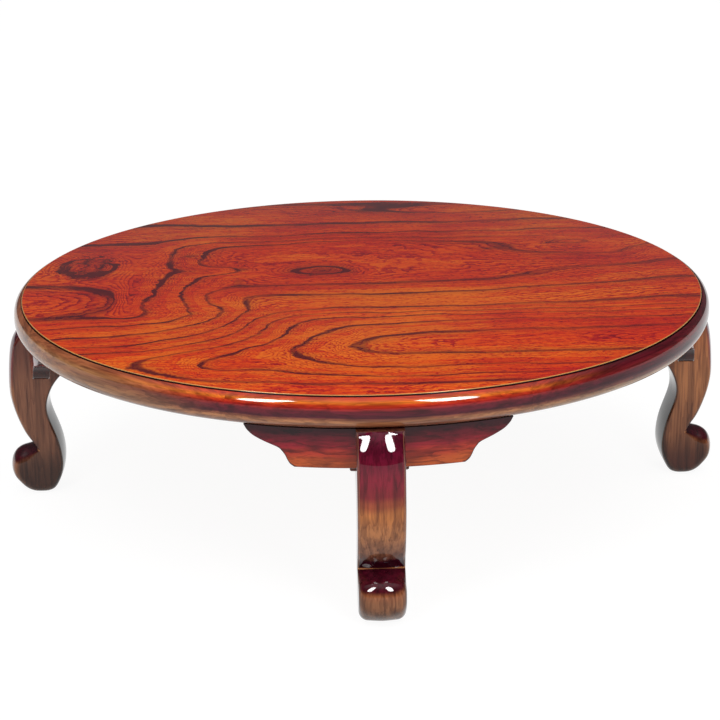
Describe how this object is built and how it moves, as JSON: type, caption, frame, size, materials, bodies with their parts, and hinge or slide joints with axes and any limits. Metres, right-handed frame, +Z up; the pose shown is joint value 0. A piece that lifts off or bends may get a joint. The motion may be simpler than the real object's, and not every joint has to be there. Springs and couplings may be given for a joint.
{
  "type": "folding low table",
  "caption": "Round low floor table with a lacquered grained top in a rounded rim, on carved cat-foot legs that fold inwards under it on steel hinges.",
  "frame": {"origin": "on the floor below the middle of the round top", "axes": "+Z up, -Y towards the front leg, +X towards the right leg"},
  "size_m": [1.097, 1.097, 0.32],
  "materials": {
    "panel_wood": "gloss red lacquer, bold grain",
    "rim_wood": "gloss dark red-brown lacquer",
    "core_wood": "bare sawn wood",
    "sheet_wood": "sanded plywood with a thin stain",
    "leg_wood": "gloss red-brown lacquer",
    "apron_wood": "gloss red lacquer",
    "block_wood": "stained, thin lacquer",
    "hinge_steel": "zinc plated, dulled",
    "spring_steel": "blued spring steel",
    "screw_steel": "yellow zinc plated",
    "felt": "pressed wool felt"
  },
  "bodies": {
    "top": {"top_panel": "panel_wood", "core_frame": "core_wood", "back_sheet": "sheet_wood", "rim_segment_1": "rim_wood", "rim_segment_2": "rim_wood", "rim_segment_3": "rim_wood", "rim_segment_4": "rim_wood", "rim_segment_5": "rim_wood", "rim_segment_6": "rim_wood", "rim_segment_7": "rim_wood", "rim_segment_8": "rim_wood", "hinge_base_front": "hinge_steel", "hinge_pin_front": "hinge_steel", "click_spring_front": "spring_steel", "spring_rivets_front": "hinge_steel", "base_screws_front": "screw_steel", "hinge_base_right": "hinge_steel", "hinge_pin_right": "hinge_steel", "click_spring_right": "spring_steel", "spring_rivets_right": "hinge_steel", "base_screws_right": "screw_steel", "hinge_base_back": "hinge_steel", "hinge_pin_back": "hinge_steel", "click_spring_back": "spring_steel", "spring_rivets_back": "hinge_steel", "base_screws_back": "screw_steel", "hinge_base_left": "hinge_steel", "hinge_pin_left": "hinge_steel", "click_spring_left": "spring_steel", "spring_rivets_left": "hinge_steel", "base_screws_left": "screw_steel"},
    "front_leg": {"leg_front": "leg_wood", "apron_front": "apron_wood", "corner_block_front": "block_wood", "leg_bracket_front": "hinge_steel", "bracket_screws_front": "screw_steel", "block_screws_front": "screw_steel", "foot_pad_front": "felt"},
    "right_leg": {"leg_right": "leg_wood", "apron_right": "apron_wood", "corner_block_right": "block_wood", "leg_bracket_right": "hinge_steel", "bracket_screws_right": "screw_steel", "block_screws_right": "screw_steel", "foot_pad_right": "felt"},
    "back_leg": {"leg_back": "leg_wood", "apron_back": "apron_wood", "corner_block_back": "block_wood", "leg_bracket_back": "hinge_steel", "bracket_screws_back": "screw_steel", "block_screws_back": "screw_steel", "foot_pad_back": "felt"},
    "left_leg": {"leg_left": "leg_wood", "apron_left": "apron_wood", "corner_block_left": "block_wood", "leg_bracket_left": "hinge_steel", "bracket_screws_left": "screw_steel", "block_screws_left": "screw_steel", "foot_pad_left": "felt"}
  },
  "joints": [
    {"name": "fold_front", "type": "hinge", "parent": "top", "child": "front_leg", "pos_m": [0, -0.44, 0.2595], "axis": [1, 0, 0], "range_deg": [0, 90], "deforming": ["click_spring_front"]},
    {"name": "fold_right", "type": "hinge", "parent": "top", "child": "right_leg", "pos_m": [0.44, 0, 0.2595], "axis": [0, 1, 0], "range_deg": [0, 90], "deforming": ["click_spring_right"]},
    {"name": "fold_back", "type": "hinge", "parent": "top", "child": "back_leg", "pos_m": [0, 0.44, 0.2595], "axis": [-1, 0, 0], "range_deg": [0, 90], "deforming": ["click_spring_back"]},
    {"name": "fold_left", "type": "hinge", "parent": "top", "child": "left_leg", "pos_m": [-0.44, 0, 0.2595], "axis": [0, -1, 0], "range_deg": [0, 90], "deforming": ["click_spring_left"]}
  ]
}
